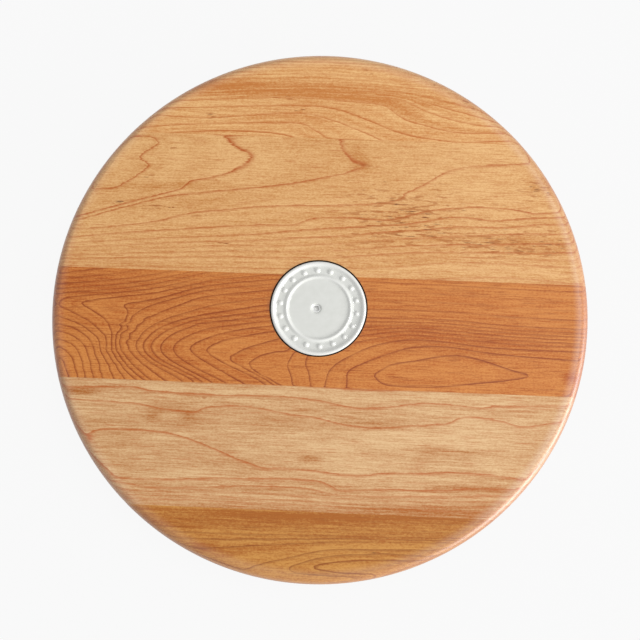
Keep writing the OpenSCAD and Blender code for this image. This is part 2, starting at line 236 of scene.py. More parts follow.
class Surface(Graph):
    """The nodes of one material, with its Principled shader and its place on the part in millimetres."""

    def __init__(self, name: str, **fixed: Any) -> None:
        """Starts a material.

        Args:
            name: the material's name.
            fixed: values that are the same all over, by the shader's socket names with _ for a space.
        """
        self.material = bpy.data.materials.new(name)
        self.material.use_nodes = True
        super().__init__(self.material.node_tree)
        self.tree.nodes.clear()
        self.shader = self.node("ShaderNodeBsdfPrincipled")
        self.node("ShaderNodeOutputMaterial", values={"Surface": self.shader.outputs[0]})
        for socket, value in fixed.items():
            self.shader.inputs[socket.replace("_", " ")].default_value = value
        place = self.node("ShaderNodeTexCoord").outputs["Object"]
        self.place = self.vector("MULTIPLY", place, (1 / MM,) * 3)

    def noise(
        self,
        stretch: Tuple[float, float, float],
        detail: float = 2.0,
        rough: float = 0.5,
        shift: float = 0.0,
        at: Optional[Socket] = None,
    ) -> Value:
        """Cloudy noise about 0.5.

        Args:
            stretch: how many of its features a millimetre holds along X, Y and Z.
            detail: how many finer layers it has.
            rough: how strong the finer layers are.
            shift: moves the pattern, so that two noises differ.
            at: where it is read, or nothing for the place on the part.

        Returns:
            The noise.
        """
        where = self.vector("MULTIPLY", at or self.place, stretch)
        where = self.vector("ADD", where, (shift, shift * 0.7, shift * 1.3))
        values = {"Vector": where, "Scale": 1.0, "Detail": detail, "Roughness": rough}
        return Value(self, self.node("ShaderNodeTexNoise", values=values).outputs["Fac"])

    def attribute(self, name: str) -> Value:
        """A number that the mesh stores at its points."""
        settings = {"attribute_name": name, "attribute_type": "GEOMETRY"}
        return Value(self, self.node("ShaderNodeAttribute", settings).outputs["Fac"])

    def chance(self, seed: Term) -> Value:
        """A number from 0 to 1 that jumps with each whole seed."""
        made = self.node("ShaderNodeTexWhiteNoise", {"noise_dimensions": "1D"}, {"W": seed})
        return Value(self, made.outputs["Value"])

    def mix(self, share: Term, first: Any, second: Any, mode: str = "MIX") -> Socket:
        """A colour between two others.

        Args:
            share: how much of the second colour there is.
            first: the first colour or its output.
            second: the second colour or its output.
            mode: how they are combined.

        Returns:
            The colour's output.
        """
        settings = {"data_type": "RGBA", "blend_type": mode, "clamp_factor": True}
        return self.node("ShaderNodeMix", settings, {0: share, 6: first, 7: second}).outputs[2]

    def finish(self, colour: Any, rough: Any, height: Optional[Value] = None, depth: float = 0.0) -> None:
        """Feeds the shader.

        Args:
            colour: the base colour.
            rough: the roughness.
            height: the small relief from 0 to 1, or nothing for a smooth surface.
            depth: how deep the relief is, in millimetres.
        """
        self.feed(self.shader.inputs["Base Color"], colour)
        self.feed(self.shader.inputs["Roughness"], rough)
        if height is not None:
            values = {"Strength": 1.0, "Distance": depth * MM, "Height": height}
            bump = self.node("ShaderNodeBump", values=values)
            self.feed(self.shader.inputs["Normal"], bump.outputs[0])


# ---------- finishes ----------


class Rings(Enum):
    """Where a piece of wood gets its growth rings from."""

    DRAWN = "the ring count that its mesh stores"
    PITH = "circles round a pith below the piece"


@dataclass(frozen=True)
class Maple:
    """Oiled maple: its tones, its ring lines, its fibre, its small dark marks and painted shade in its
    pocket.

    A ring line fades over soft_side on one side and hard_side on the other, and wanders and is ragged by
    that much; all four are millimetres, like the pith's place, the rings' spacing, the pocket's radius and
    the radius where the rounded edge begins.  Streaks, fibre, stipple and hairs are strengths.
    """

    name: str
    pale: Colour
    deep: Colour
    line: Colour
    rings: Rings = Rings.DRAWN
    seed: float = 0.0
    soft_side: float = 2.4
    hard_side: float = 0.6
    wander: float = 1.6
    ragged: float = 0.9
    streaks: float = 0.5
    fibre: float = 1.15
    stipple: float = 1.1
    hairs: float = 0.5
    pith_y: float = 0.0
    pith_z: float = -60.0
    spacing: float = 4.0
    pocket: float = 41.8
    rim: float = 224.0
    rim_blend: float = 10.0
    fleck_tone: Colour = tone(112, 56, 16)
    blot_tone: Colour = tone(172, 90, 22)
    end_tone: Colour = tone(150, 92, 66)
    # painted shade: the near-black colour laid on the pocket wall and floor round the plate
    pocket_shade_tone: Colour = tone(46, 26, 14)

    def ring_count(self, s: Surface) -> Tuple[Value, Term]:
        """Counts the rings from the mesh or from the pith.

        Args:
            s: the material.

        Returns:
            The ring count, and how many rings a millimetre of the surface holds.
        """
        if self.rings is Rings.DRAWN:
            return s.attribute("ring"), s.attribute("ring_slope")
        across, deep = s.parts(s.place)[1:]
        bend = (s.noise((0.004, 0.008, 0.008), 1.0, shift=self.seed) - 0.5) * 46
        across = across - self.pith_y + bend
        deep = deep - self.pith_z
        radius = (across * across + deep * deep) ** 0.5
        return radius / self.spacing, 1 / self.spacing

    def ring_lines(self, s: Surface, ring: Value, slope: Term) -> Value:
        """Draws the dark end of each ring: crisp on one side and soft on the other.

        Args:
            s: the material.
            ring: the ring count.
            slope: rings to a millimetre.

        Returns:
            How dark the line is, from 0 to 1.
        """
        nearest = ring.of("ADD", 0.5).of("FLOOR")
        off = (ring - nearest) / slope
        hard = (off / self.hard_side + 1.0).held()
        soft = (1.0 - off / self.soft_side).held()
        calm = s.attribute("calm") if self.rings is Rings.DRAWN else 0.0
        own = 1.0 - s.chance(nearest + self.seed) * s.math("ADD", calm, 0.2, clamp=True)
        along = s.noise((0.03, 0.14, 0.14), 3.0, 0.6, shift=self.seed + 9).eased(0.28, 0.55) * 0.5 + 0.5
        quiet = s.math("SUBTRACT", 1.0, s.math("MULTIPLY", calm, 0.6), clamp=True)
        return hard * soft * soft * own * along * quiet

    def material(self) -> bpy.types.Material:
        """Builds the wood.

        Returns:
            The material.
        """
        drawn = self.rings is Rings.DRAWN
        s = Surface(self.name, Specular_IOR_Level=0.34, Coat_Roughness=0.42, Coat_IOR=1.9)
        ring, slope = self.ring_count(s)
        sway = (s.noise((0.02, 0.07, 0.07), 3.0, shift=self.seed + 3) - 0.5) * self.wander
        shiver = (s.noise((0.1, 0.75, 0.75), 4.0, 0.65, shift=self.seed + 5) - 0.5) * 2.0 * self.ragged
        ring = ring + (sway + shiver) * slope
        lines = self.ring_lines(s, ring, slope)
        x, y, _ = s.parts(s.place)
        flow = s.joined(ring * 2.2, x * 0.006, self.seed)
        streaks = s.noise((1.0, 1.0, 1.0), 4.0, 0.62, shift=self.seed, at=flow)
        fibre = s.noise((0.035, 0.8, 0.8), 4.0, 0.8, shift=self.seed + 1)
        cloud = s.noise((0.01, 0.06, 0.06), 3.0, 0.55, shift=self.seed + 2)
        stipple = s.noise((0.48, 0.9, 0.9), 2.0, 0.8, shift=self.seed + 13)
        painted = s.attribute("tone") if drawn else cloud - 0.5
        depth = 0.36 + painted + (streaks - 0.5) * 2.0 * self.streaks + (stipple - 0.5) * self.stipple
        depth = (depth + (fibre - 0.5) * 1.5 * self.fibre + (cloud - 0.5) * 0.45).held()
        colour = s.mix(depth, self.pale, self.deep)
        hairs = s.noise((0.05, 1.0, 1.0), 3.0, 0.6, shift=self.seed + 11).eased(0.53, 0.72)
        colour = s.mix(hairs * self.hairs, colour, self.line)
        colour = s.mix(lines, colour, self.line)
        crowd = s.attribute("fleck") if drawn else 0.0
        blots = s.noise((0.085, 0.42, 0.42), 2.5, 0.5, shift=self.seed + 17) - 0.65
        blots = ((blots + s.math("MULTIPLY", crowd, 0.14)) * 18.0).held()
        colour = s.mix(blots * s.math("ADD", crowd, 0.1, clamp=True) * 0.72, colour, self.blot_tone)
        dashes = s.noise((0.1, 0.95, 0.95), 2.0, 0.45, shift=self.seed + 7) - 0.82
        marks = ((dashes + s.math("MULTIPLY", crowd, 0.24)) * 12.0).held()
        colour = s.mix(marks * 0.85, colour, self.fleck_tone)
        if drawn:
            ends = s.attribute("end_grain")
            pores = s.noise((0.9, 0.9, 0.22), 3.0, 0.6, shift=self.seed + 4)
            colour = s.mix(ends * (0.35 + pores * 0.5), colour, self.end_tone)
            radius = (x * x + y * y) ** 0.5
            # painted shade: the wood inside the pocket's radius is darkened where the gap round the plate
            # lies in shadow
            colour = s.mix(((self.pocket - radius) * 4.0).held() * 0.9, colour, self.pocket_shade_tone)
            polished = radius.eased(self.rim - self.rim_blend, self.rim)
            s.feed(s.shader.inputs["Coat Weight"], polished)
        rough = 0.54 + (fibre - 0.5) * 0.22 - lines * 0.06
        relief = fibre * 0.7 + (1.0 - lines) * 0.3 - marks * 0.4
        s.finish(colour, rough, relief, 0.05)
        return s.material


@dataclass(frozen=True)
class Glaze:
    """White gloss glaze that breaks paler on crests and pools in hollows."""

    name: str = "white_glaze"
    crest: Colour = tone(236, 236, 231)
    pool: Colour = tone(221, 222, 215)
    level: float = 49.4
    rise: float = 1.6

    def material(self) -> bpy.types.Material:
        """Builds the glaze.

        Returns:
            The material.
        """
        s = Surface(self.name, Coat_Roughness=0.04, Coat_IOR=1.5, Specular_IOR_Level=0.4)
        high = s.parts(s.place)[2]
        mottle = s.noise((0.16, 0.16, 0.16), 3.0)
        lift = ((high - self.level) / self.rise + (mottle - 0.5) * 0.9 + 0.35).held()
        specks = s.noise((1.6, 1.6, 1.6), 1.0, shift=4.0).eased(0.8, 0.86)
        colour = s.mix(lift, self.pool, self.crest)
        colour = s.mix(specks * 0.35, colour, tone(176, 172, 160))
        orange_peel = s.noise((0.5, 0.5, 0.5), 2.0, shift=2.0)
        s.feed(s.shader.inputs["Coat Weight"], 0.5 + mottle * 0.25)
        s.finish(colour, 0.2 + mottle * 0.1, orange_peel, 0.012)
        return s.material


@dataclass(frozen=True)
class TurnedMetal:
    """Bare metal from the lathe, with fine rings of tool marks round the spin axis."""

    name: str
    colour: Colour
    dull: Colour
    rough: float
    marks: float = 5.0
    groove: float = 0.006

    def material(self) -> bpy.types.Material:
        """Builds the metal.

        Returns:
            The material.
        """
        s = Surface(self.name, Metallic=1.0)
        x, y, z = s.parts(s.place)
        radius = (x * x + y * y) ** 0.5
        lathe = s.joined(radius * self.marks, z * self.marks, 0.0)
        rings = s.noise((1.0, 1.0, 1.0), 3.0, 0.7, at=lathe)
        haze = s.noise((0.06, 0.06, 0.12), 3.0, 0.6, shift=3.0)
        colour = s.mix(haze.eased(0.35, 0.7), self.colour, self.dull)
        s.finish(colour, self.rough + (rings - 0.5) * 0.2 + (haze - 0.5) * 0.2, rings, self.groove)
        return s.material


@dataclass(frozen=True)
class SmallMetal:
    """Plated or polished small metal parts, with faint stains and a fine grain."""

    name: str
    colour: Colour
    stain: Colour
    rough: float
    metallic: float = 1.0
    grain: float = 2.2
    relief: float = 0.004

    def material(self) -> bpy.types.Material:
        """Builds the metal.

        Returns:
            The material.
        """
        s = Surface(self.name, Metallic=self.metallic)
        stain = s.noise((0.35, 0.35, 0.35), 3.0, 0.6)
        grain = s.noise((self.grain,) * 3, 3.0, 0.6, shift=6.0)
        colour = s.mix(stain.eased(0.45, 0.75), self.colour, self.stain)
        s.finish(colour, self.rough + (grain - 0.5) * 0.16 + (stain - 0.5) * 0.12, grain, self.relief)
        return s.material


@dataclass(frozen=True)
class Moulded:
    """Moulded rubber, silicone or nylon with a fine sparked grain."""

    name: str
    colour: Colour
    worn: Colour
    rough: float
    grain: float = 1.8
    relief: float = 0.02
    soft: float = 0.0

    def material(self) -> bpy.types.Material:
        """Builds the moulding.

        Returns:
            The material.
        """
        s = Surface(self.name, Subsurface_Weight=self.soft, Subsurface_Scale=0.002)
        grain = s.noise((self.grain,) * 3, 4.0, 0.65)
        cloud = s.noise((0.12, 0.12, 0.12), 3.0, 0.55, shift=5.0)
        colour = s.mix((cloud * 0.7 + grain * 0.5).eased(0.45, 0.8), self.colour, self.worn)
        s.finish(colour, self.rough + (grain - 0.5) * 0.2, grain, self.relief)
        return s.material


# ---------- drawn growth rings ----------


@dataclass(frozen=True)
class Ring:
    """One drawn growth ring: its place in the count and its route over the top of the stave."""

    number: float
    route: Tuple[Point, ...]

    def samples(self, step: float) -> np.ndarray:
        """Points along a smooth curve through the route.

        Args:
            step: about how far apart the points are.

        Returns:
            The points, one to a row.
        """
        knots = np.array([self.route[0], *self.route, self.route[-1]], float)
        found = []
        for a, b, c, d in zip(knots, knots[1:], knots[2:], knots[3:]):
            count = max(2, int(np.hypot(*(c - b)) / step))
            for t in np.arange(count) / count:
                found.append(
                    0.5 * (2 * b + (c - a) * t + (2 * a - 5 * b + 4 * c - d) * t * t
                           + (3 * b - a - 3 * c + d) * t ** 3)
                )
        found.append(knots[-1])
        return np.array(found)


@dataclass(frozen=True)
class Patch:
    """An oval zone with soft edges, where a stave is deeper or paler, has flecks, or has calm ring lines."""

    x: float
    y: float
    half_length: float
    half_width: float
    strength: float
    rise: float = 0.0

    def at(self, x: np.ndarray, y: np.ndarray) -> np.ndarray:
        """Its strength at these places.

        Args:
            x: the places along the staves.
            y: the places across them.

        Returns:
            The strength at each.
        """
        along, across = x - self.x, y - self.y
        across = across - along * self.rise
        return self.strength * np.exp(-((along / self.half_length) ** 4) - (across / self.half_width) ** 2)


@dataclass(frozen=True)
class Figure:
    """The figure of one stave: its rings, its tones, where its flecks crowd and where its lines are calm."""

    rings: Tuple[Ring, ...]
    tones: Tuple[Patch, ...] = ()
    flecks: Tuple[Patch, ...] = ()
    calms: Tuple[Patch, ...] = ()
    depth_spacing: float = 4.0


class RingField:
    """A smooth ring count over a stave that takes each drawn ring's number along its route."""

    STEP = 7.0
    SQUEEZE = 0.4
    SLACK = 0.02
    BLUNT = 3.0

    def __init__(self, rings: Sequence[Ring]) -> None:
        """Fits a sheet of blunt cones through the drawn rings.

        Args:
            rings: the drawn rings.
        """
        routes = [ring.samples(self.STEP) for ring in rings]
        self.knots = np.concatenate(routes) * (self.SQUEEZE, 1.0)
        numbers = np.concatenate([np.full(len(r), ring.number) for r, ring in zip(routes, rings)])
        count = len(self.knots)
        flat = np.column_stack([np.ones(count), self.knots])
        system = np.zeros((count + 3, count + 3))
        system[:count, :count] = self.cones(self.knots)[0] + np.eye(count) * self.SLACK
        system[:count, count:] = flat
        system[count:, :count] = flat.T
        self.weights = np.linalg.solve(system, np.concatenate([numbers, np.zeros(3)]))

    def cones(self, at: np.ndarray) -> Tuple[np.ndarray, np.ndarray, np.ndarray]:
        """How high each knot's cone stands at these places.

        Args:
            at: the places, one to a row.

        Returns:
            The height, and its slopes along and across.
        """
        apart = at[:, None, :] - self.knots[None, :, :]
        reach = np.sqrt((apart ** 2).sum(2) + self.BLUNT ** 2)
        return -reach, -apart[:, :, 0] / reach, -apart[:, :, 1] / reach

    def at(self, x: np.ndarray, y: np.ndarray) -> Tuple[np.ndarray, np.ndarray, np.ndarray]:
        """The ring count at these places.

        Args:
            x: the places along the staves.
            y: the places across them.

        Returns:
            The count, and its slopes along and across.
        """
        places = np.column_stack([x * self.SQUEEZE, y])
        bend, tilt, base = self.weights[:-3], self.weights[-2:], self.weights[-3]
        found = [np.zeros(len(places)) for _ in range(3)]
        for start in range(0, len(places), 4000):
            rows = slice(start, start + 4000)
            values = self.cones(places[rows])
            for one, value in zip(found, values):
                one[rows] = value @ bend
        found[0] += base + places @ tilt
        return found[0], (found[1] + tilt[0]) * self.SQUEEZE, found[2] + tilt[1]


WARM_FIGURE = Figure(
    rings=(
        Ring(1, ((-160, 154), (-125, 158), (-32, 163), (-12, 158), (2, 150))),
        Ring(2, ((-150, 166), (-103, 165), (-28, 172), (4, 167), (18, 162), (36, 155), (48, 150))),
        Ring(3, ((-140, 173), (-80, 176), (-13, 179), (19, 174), (55, 160), (78, 154), (113, 150))),
        Ring(4, ((-128, 180), (-70, 184), (-14, 186), (39, 183), (54, 179), (67, 170), (84, 165),
                 (116, 159), (160, 160))),
        Ring(6, ((-120, 187), (-14, 194), (60, 192), (100, 182), (140, 172))),
        Ring(9, ((-110, 196), (0, 202), (100, 196))),
        Ring(12, ((-90, 208), (0, 212), (90, 206))),
        Ring(16, ((-60, 222), (60, 222))),
    ),
    tones=(
        Patch(-40, 193, 120, 8, 0.62, -0.03), Patch(110, 180, 40, 9, 0.2), Patch(0, 222, 90, 9, -0.1),
        Patch(30, 165, 60, 9, 0.16, -0.2), Patch(-120, 152, 60, 6, 0.12),
    ),
    flecks=(
        Patch(-95, 166, 12, 2, 0.9), Patch(-30, 174, 14, 2, 0.8), Patch(-45, 186, 8, 2, 0.9),
        Patch(120, 188, 14, 2.5, 0.9), Patch(25, 212, 20, 3, 0.7), Patch(-102, 168, 6, 1.5, 1.0),
        Patch(-33, 186, 5, 1.5, 1.1), Patch(-23, 176, 4, 1.5, 1.1),
    ),
    calms=(Patch(0, 205, 200, 20, 0.9),),
)

LIGHT_FIGURE = Figure(
    rings=(
        Ring(0.6, ((-178, 136), (-180, 124), (-192, 110))),
        Ring(1, ((-163, 146), (-154, 146), (-146, 141), (-157, 132), (-161, 126), (-153, 121),
                 (-160, 113), (-174, 103), (-182, 99), (-199, 97))),
        Ring(1.4, ((-166, 150), (-143, 149), (-130, 138), (-135, 120), (-160, 101), (-202, 88))),
        Ring(2, ((-89, 148), (-83, 145), (-75, 138), (-65, 133), (-70, 124), (-77, 120), (-86, 115),
                 (-101, 111), (-116, 107), (-122, 101), (-133, 97), (-170, 86), (-211, 73))),
        Ring(2.5, ((-35, 150), (-28, 138), (-15, 126), (-40, 114), (-80, 106), (-118, 101))),
        Ring(3, ((13, 150), (14, 142), (18, 136), (26, 129), (33, 126), (14, 118), (-12, 112),
                 (-30, 108), (-65, 103), (-110, 97), (-135, 93), (-170, 83), (-210, 70))),
        Ring(3.5, ((75, 150), (80, 138), (68, 118), (20, 104), (-60, 95), (-130, 82), (-210, 66))),
        Ring(4, ((-212, 61), (-177, 65), (-142, 71), (-121, 77), (-103, 81), (-77, 84), (-56, 87),
                 (-24, 89), (5, 90), (35, 92), (52, 94), (67, 98), (70, 103), (82, 109), (99, 120),
                 (117, 127), (149, 131), (177, 134))),
        Ring(5, ((-212, 54), (-150, 62), (-60, 70), (-27, 71), (-18, 74), (-6, 78), (14, 80), (52, 79),
                 (73, 83), (93, 89), (129, 93), (164, 92), (182, 89), (205, 92))),
        Ring(6, ((-214, 49), (-140, 56), (-60, 62), (-9, 68), (30, 72), (75, 77), (116, 84),
                 (146, 82), (190, 86))),
        Ring(8, ((-215, 42), (-100, 50), (-20, 54), (60, 62), (130, 68), (200, 72))),
        Ring(10, ((-218, 35), (-100, 41), (0, 44), (90, 52), (190, 55))),
        Ring(12, ((-220, 29), (-100, 32), (-10, 34), (60, 38), (118, 44), (169, 44), (215, 43))),
        Ring(13, ((0, 27), (60, 32), (118, 38), (169, 39), (222, 36))),
    ),
    tones=(
        Patch(-128, 103, 45, 3, 0.4, 0.05), Patch(190, 115, 16, 8, 0.4), Patch(184, 60, 32, 9, 0.35),
        Patch(60, 76, 70, 30, 0.12), Patch(-175, 92, 30, 7, 0.2, 0.2), Patch(150, 100, 70, 20, -0.12),
        Patch(30, 132, 8, 9, 0.35, -0.6), Patch(-120, 135, 60, 14, -0.08),
    ),
    flecks=(
        Patch(70, 80, 58, 36, 0.85), Patch(-150, 84, 14, 3, 0.9), Patch(-110, 78, 12, 3, 0.8),
        Patch(190, 112, 20, 10, 0.6), Patch(165, 60, 52, 14, 0.6), Patch(-40, 48, 60, 6, 0.35),
        Patch(175, 86, 42, 30, 0.4), Patch(-177, 87, 8, 1.5, 1.3), Patch(-130, 83, 5, 1.5, 1.4),
        Patch(-70, 88, 6, 1.5, 1.0), Patch(-112, 49, 6, 1.6, 1.1), Patch(-84, 53, 6, 1.8, 1.0),
        Patch(-134, 137, 6, 1.2, 0.9), Patch(-150, 110, 10, 1.6, 0.8), Patch(32, 126, 8, 2, 0.8),
    ),
    calms=(Patch(0, 40, 320, 20, 0.6),),
)

BROWN_FIGURE = Figure(
    rings=(
        Ring(1, ((-224, -47), (-214, -53), (-208, -68))),
        Ring(3, ((-225, -34), (-208, -39), (-199, -50), (-194, -68))),
        Ring(5, ((-225, -21), (-205, -26), (-192, -36), (-186, -49), (-179, -68))),
        Ring(7, ((-220, -7), (-204, -14), (-190, -22), (-179, -33), (-178, -43), (-168, -56), (-160, -68))),
        Ring(8, ((-94, 20), (-137, 9), (-167, 4), (-200, -2), (-197, -7), (-182, -16), (-175, -26),
                 (-174, -37), (-172, -45), (-162, -58), (-150, -68))),
        Ring(8.5, ((-185, -3), (-177, -9), (-173, -17), (-172, -26))),
        Ring(9, ((-41, 23), (-94, 16), (-128, 6), (-147, 1), (-165, -3), (-162, -9), (-164, -18),
                 (-169, -27), (-171, -36), (-167, -46), (-155, -59), (-143, -68))),
        Ring(10, ((-41, 19), (-94, 12), (-125, 3), (-142, -3), (-154, -10), (-163, -20), (-168, -36),
                  (-160, -49), (-144, -63), (-137, -68))),
        Ring(11, ((-112, 1), (-140, -12), (-154, -24), (-160, -38), (-150, -50), (-128, -66))),
        Ring(13, ((-41, 2), (-92, -8), (-114, -14), (-132, -21), (-143, -30), (-147, -39), (-136, -50),
                  (-106, -64))),
        Ring(15, ((-100, -17), (-124, -28), (-132, -40), (-120, -51), (-92, -64))),
        Ring(17, ((-41, -17), (-70, -22), (-95, -30), (-107, -39), (-96, -48), (-70, -62))),
        Ring(18, ((-41, -22), (-60, -26), (-82, -32), (-93, -40), (-80, -49), (-55, -60), (-42, -67))),
        Ring(19, ((-38, -29), (-60, -37), (-73, -46), (-60, -54), (-45, -61), (-35, -67))),
        Ring(20, ((-25, -37), (-47, -42), (-56, -51), (-44, -60), (-29, -67))),
        Ring(20.5, ((-28, -43), (-39, -50), (-34, -58), (-24, -67))),
        Ring(21, ((-18, -38), (-24, -48), (-21, -58), (-19, -66))),
        Ring(22, ((-8, -42), (-9, -49), (-6, -55), (-4, -66))),
        Ring(23, ((8, -68), (10, -56), (18, -46), (41, -33), (64, -26), (82, -24), (109, -25),
                  (149, -28), (222, -29))),
        Ring(24, ((27, -68), (26, -58), (28, -52), (40, -45), (61, -36), (82, -30), (109, -29),
                  (149, -33), (216, -36))),
        Ring(25, ((49, -55), (62, -46), (84, -41), (112, -36), (134, -38), (162, -46), (178, -51),
                  (162, -55), (134, -59), (112, -62), (88, -64), (58, -63), (49, -55))),
        Ring(22, ((41, -26), (75, -20), (109, -21), (160, -24), (222, -25))),
        Ring(18, ((41, -10), (100, -9), (160, -12), (224, -13))),
        Ring(13, ((41, 8), (100, 9), (160, 7), (226, 6))),
        Ring(8, ((-30, 29), (30, 29), (120, 28), (220, 27))),
        Ring(7, ((-215, 1), (-167, 8), (-137, 13), (-94, 24))),
        Ring(5, ((-218, 9), (-160, 16), (-118, 25))),
        Ring(3, ((-222, 17), (-180, 23))),
        Ring(24.5, ((60, -70), (120, -68), (170, -60), (193, -52), (186, -43))),
        Ring(25.5, ((80, -53), (110, -50), (145, -49))),
    ),
    tones=(
        Patch(-110, 22, 130, 12, 0.06, 0.02), Patch(-195, 12, 40, 14, 0.2), Patch(-60, -5, 70, 20, 0.16),
        Patch(112, -50, 58, 11, -0.1), Patch(60, -15, 60, 12, 0.2), Patch(40, -50, 30, 14, 0.1),
        Patch(190, 10, 45, 24, -0.12), Patch(213, -52, 7, 5, 0.8), Patch(110, -22, 70, 6, 0.2),
        Patch(-190, -45, 40, 22, -0.18), Patch(-188, -6, 14, 5, -0.25), Patch(80, 23, 100, 7, -0.16),
    ),
    flecks=(Patch(-150, 28, 60, 3, 0.5), Patch(60, 20, 50, 5, 0.3)),
    calms=(Patch(150, 4, 130, 24, 0.8), Patch(0, 24, 200, 9, 0.5)),
    depth_spacing=3.4,
)

PALE_FIGURE = Figure(
    rings=(
        Ring(1, ((-209, -75), (-156, -73), (-133, -76), (-77, -77), (-42, -76), (-6, -77), (26, -82),
                 (43, -83), (64, -81), (88, -77), (111, -77), (138, -79), (152, -77), (212, -75))),
        Ring(2, ((-202, -85), (-171, -86), (-145, -87), (-130, -90), (-100, -92), (-92, -88), (-65, -85),
                 (-42, -87), (-18, -91), (5, -93), (23, -97), (52, -99), (82, -96), (111, -93),
                 (117, -90), (129, -87), (152, -89), (173, -93), (197, -89))),
        Ring(2.5, ((-196, -102), (-140, -99), (-80, -103), (-20, -113), (60, -116), (150, -112))),
        Ring(3, ((-187, -119), (-185, -112), (-171, -109), (-139, -109), (-112, -112), (-92, -118),
                 (-71, -126), (-53, -132), (-39, -136), (-24, -135), (5, -137), (35, -139), (64, -136),
                 (91, -135), (117, -133), (149, -134), (176, -137))),
        Ring(3.5, ((-172, -126), (-130, -129), (-80, -136), (0, -141), (30, -144), (100, -141), (165, -141))),
        Ring(4, ((-167, -144), (-161, -148), (-142, -149), (-112, -148), (-83, -146), (-53, -145),
                 (-30, -144), (-6, -144), (8, -145), (17, -149), (26, -152), (49, -150), (79, -149),
                 (108, -148), (138, -145), (161, -145))),
        Ring(5, ((-159, -152), (-133, -155), (-103, -154), (-53, -151), (-6, -151), (20, -155),
                 (64, -155), (123, -152))),
        Ring(7, ((-150, -162), (-60, -161), (60, -162), (140, -160))),
        Ring(10, ((-150, -171), (0, -171), (150, -171))),
    ),
    tones=(
        Patch(-120, -96, 20, 8, 0.55), Patch(-120, -96, 12, 4, -0.6), Patch(111, -118, 26, 4, 0.5),
        Patch(111, -118, 19, 1.8, -0.4), Patch(45, -97, 36, 3, 0.3), Patch(0, -174.5, 175, 8, 0.56, 0.05),
        Patch(-1, -127, 9, 3, 0.5), Patch(-60, -118, 70, 14, -0.06),
        Patch(110, -106, 70, 12, -0.14), Patch(-170, -100, 30, 16, 0.06), Patch(130, -146, 40, 3, 0.3),
        Patch(60, -142, 80, 5, -0.14), Patch(-195, -79, 12, 3, 0.4),
    ),
    flecks=(
        Patch(52, -98, 9, 1.6, 1.0), Patch(-96, -80, 8, 2, 0.7), Patch(95, -85, 20, 2.5, 0.5),
        Patch(0, -130, 40, 5, 0.3), Patch(-205, -78, 8, 3, 0.8), Patch(-70, -117, 14, 2, 0.4),
    ),
    calms=(Patch(0, -166, 200, 11, 0.9),),
)

AMBER_FIGURE = Figure(
    rings=(
        Ring(0, ((-155, -168), (0, -168), (155, -168))),
        Ring(3, ((-150, -180), (-60, -180), (60, -179), (140, -178))),
        Ring(6, ((-130, -190), (-60, -190), (40, -188), (130, -186))),
        Ring(8, ((-110, -205), (-60, -200), (0, -195), (46, -192), (120, -190))),
        Ring(8.6, ((-78, -213), (-54, -220), (-38, -226))),
        Ring(9, ((120, -196), (60, -198), (17, -200), (-18, -208), (-46, -217), (-30, -223), (-7, -226))),
        Ring(10, ((110, -202), (62, -201), (18, -205), (-5, -211), (-15, -216), (-4, -220), (47, -221))),
        Ring(11, ((100, -206), (60, -206), (25, -209), (5, -214), (25, -218), (60, -217))),
    ),
    tones=(
        Patch(0, -174.5, 175, 8, 0.56, 0.05), Patch(-85, -201, 10, 4, 0.6), Patch(40, -207, 90, 14, -0.14),
        Patch(60, -186, 80, 3, 0.3, 0.03),
    ),
    flecks=(Patch(55, -190, 24, 3, 0.7), Patch(60, -205, 40, 4, 0.5), Patch(55, -200, 4, 1.2, 1.1)),
    calms=(Patch(0, -178, 200, 14, 0.9),),
)


# ---------- meshes ----------


def made_object(name: str, mesh: bpy.types.Mesh) -> bpy.types.Object:
    """Puts a mesh into the scene.

    Args:
        name: the piece's name.
        mesh: its mesh, in place.

    Returns:
        The piece.
    """
    piece = bpy.data.objects.new(name, mesh)
    bpy.context.scene.collection.objects.link(piece)
    return piece


def declare(piece: bpy.types.Object, body: str, nodes: Iterable[str]) -> None:
    """Hangs a piece on the body that it moves with, hides the nodes that it replaces, and logs it.

    Args:
        piece: the finished piece.
        body: the body that it moves with.
        nodes: the nodes that it replaces.
    """
    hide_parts(*nodes)
    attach(piece, body)
    LOG.info("%s: %d faces, on %s", piece.name, len(piece.data.polygons), body)


def dress(nodes: Iterable[str], material: bpy.types.Material) -> None:
    """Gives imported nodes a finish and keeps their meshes.

    Args:
        nodes: their names.
        material: the finish.
    """
    for name in nodes:
        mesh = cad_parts[name].data
        mesh.materials.clear()
        mesh.materials.append(material)
        LOG.info("%s: keeps its packed mesh, in %s", name, material.name)


def sliced_copy(node: str, along: float, across: float) -> bpy.types.Mesh:
    """Copies a node's mesh and cuts it into cells small enough to store a figure.

    Args:
        node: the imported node.
        along: the cells' length along X.
        across: the cells' width along Y.

    Returns:
        The copy, with smooth rounds and crisp corners.
    """
    sharpest = math.radians(28)
    low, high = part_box(node)
    work = bmesh.new()
    work.from_mesh(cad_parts[node].data)
    bmesh.ops.remove_doubles(work, verts=work.verts, dist=1e-6)
    for axis, step in ((0, along), (1, across)):
        normal = Vector((axis == 0, axis == 1, 0))
        for place in np.arange(low[axis] + step / 2, high[axis], step):
            everything = work.verts[:] + work.edges[:] + work.faces[:]
            bmesh.ops.bisect_plane(work, geom=everything, dist=1e-7, plane_co=normal * place, plane_no=normal)
    for face in work.faces:
        face.smooth = True
    for edge in work.edges:
        edge.smooth = len(edge.link_faces) == 2 and edge.calc_face_angle(math.pi) < sharpest
    mesh = bpy.data.meshes.new(node)
    work.to_mesh(mesh)
    work.free()
    return mesh


def eased(start: Point, end: Point, count: int = 9) -> List[Point]:
    """A soft slope between two points of a profile, level at both ends.

    Args:
        start: its first point.
        end: its last point.
        count: how many steps it has.

    Returns:
        The points.
    """
    steps = [k / count for k in range(count + 1)]
    return [
        (start[0] + (end[0] - start[0]) * t, start[1] + (end[1] - start[1]) * (1 - math.cos(math.pi * t)) / 2)
        for t in steps
    ]


